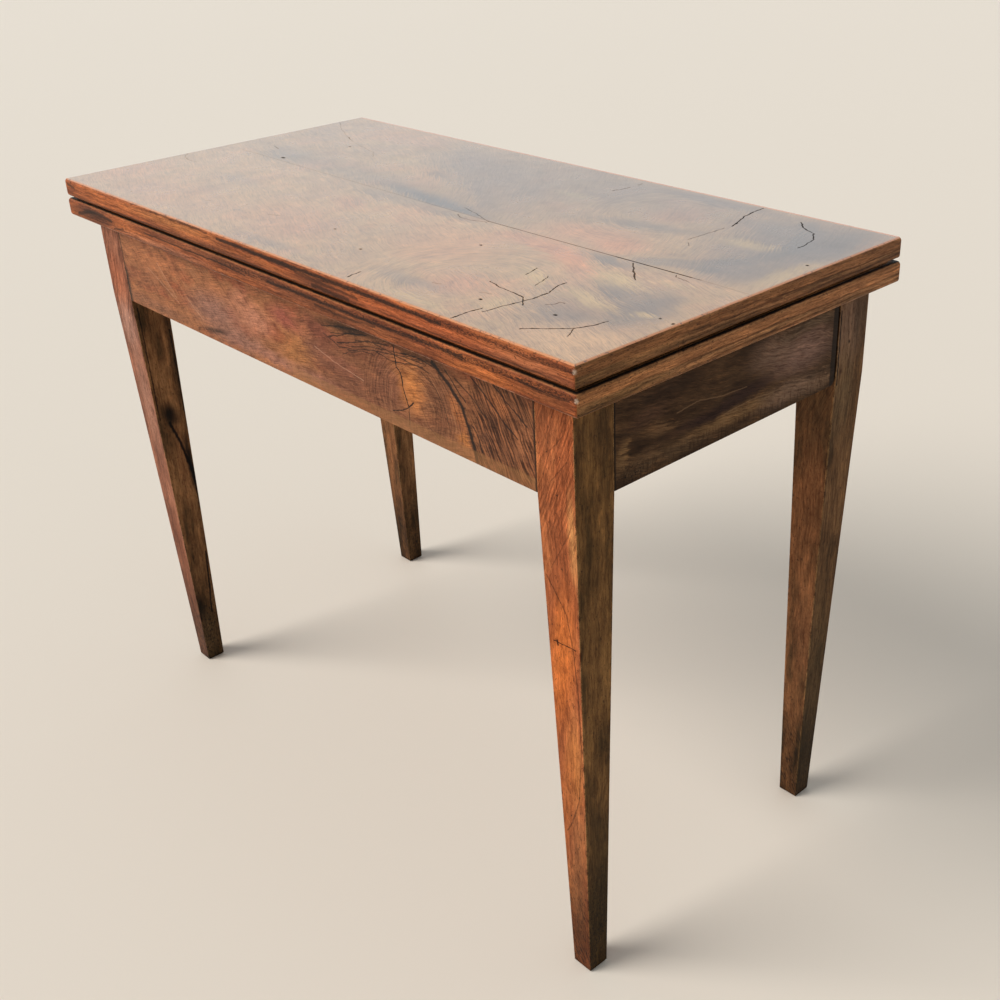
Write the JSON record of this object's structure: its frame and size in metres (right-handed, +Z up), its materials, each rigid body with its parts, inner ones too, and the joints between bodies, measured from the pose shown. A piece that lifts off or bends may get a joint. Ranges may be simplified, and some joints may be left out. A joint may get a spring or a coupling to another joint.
{
  "type": "folding card table",
  "caption": "Rectangular walnut card table: the top folds open over a leg that swings out behind, on square tapered legs.",
  "frame": {"origin": "at floor level, under the middle of the box round the closed table, hinge barrels included", "axes": "+X along the table to its right end, +Y to the back where the hinges and the swing leg are, +Z up"},
  "size_m": [0.924, 0.4602, 0.722],
  "materials": {
    "walnut": "worn French polish",
    "walnut_veneer": "worn French polish",
    "pine": "bare, aged",
    "beech": "stained, waxed",
    "baize": "napped cloth",
    "brass": "dull, aged",
    "steel": "dull, aged"
  },
  "bodies": {
    "frame": {"front_left_leg": "walnut", "front_right_leg": "walnut", "rear_left_leg": "walnut", "front_rail": "pine", "front_rail_veneer": "walnut_veneer", "left_end_rail": "pine", "left_end_rail_veneer": "walnut_veneer", "right_end_rail": "pine", "right_end_rail_veneer": "walnut_veneer", "inner_rear_rail": "pine", "fixed_rear_rail": "beech", "knuckle_pin": "steel", "centre_brace": "pine", "spacer_blocks": "pine", "fixing_blocks": "pine", "corner_blocks": "pine", "top_screws": "steel", "rear_rail_screws": "steel", "hinge_pins": "steel", "lower_leaf_front_board": "walnut", "lower_leaf_back_board": "walnut", "lower_baize": "baize", "lower_hinge_plates": "brass", "lower_hinge_screws": "brass"},
    "gate_leg": {"swing_leg": "walnut", "fly_rail": "beech"},
    "upper_leaf": {"upper_leaf_front_board": "walnut", "upper_leaf_back_board": "walnut", "upper_leaf_front_veneer": "walnut_veneer", "upper_leaf_back_veneer": "walnut_veneer", "upper_baize": "baize", "upper_hinge_plates": "brass", "upper_hinge_screws": "brass"}
  },
  "joints": [
    {"name": "leaf_fold", "type": "hinge", "parent": "frame", "child": "upper_leaf", "pos_m": [0, 0.22715, 0.6986], "axis": [-1, 0, 0], "range_deg": [0, 180]},
    {"name": "gate_swing", "type": "hinge", "parent": "frame", "child": "gate_leg", "pos_m": [0, 0.19585, 0.00062], "axis": [0, 0, 1], "range_deg": [0, 90]}
  ]
}
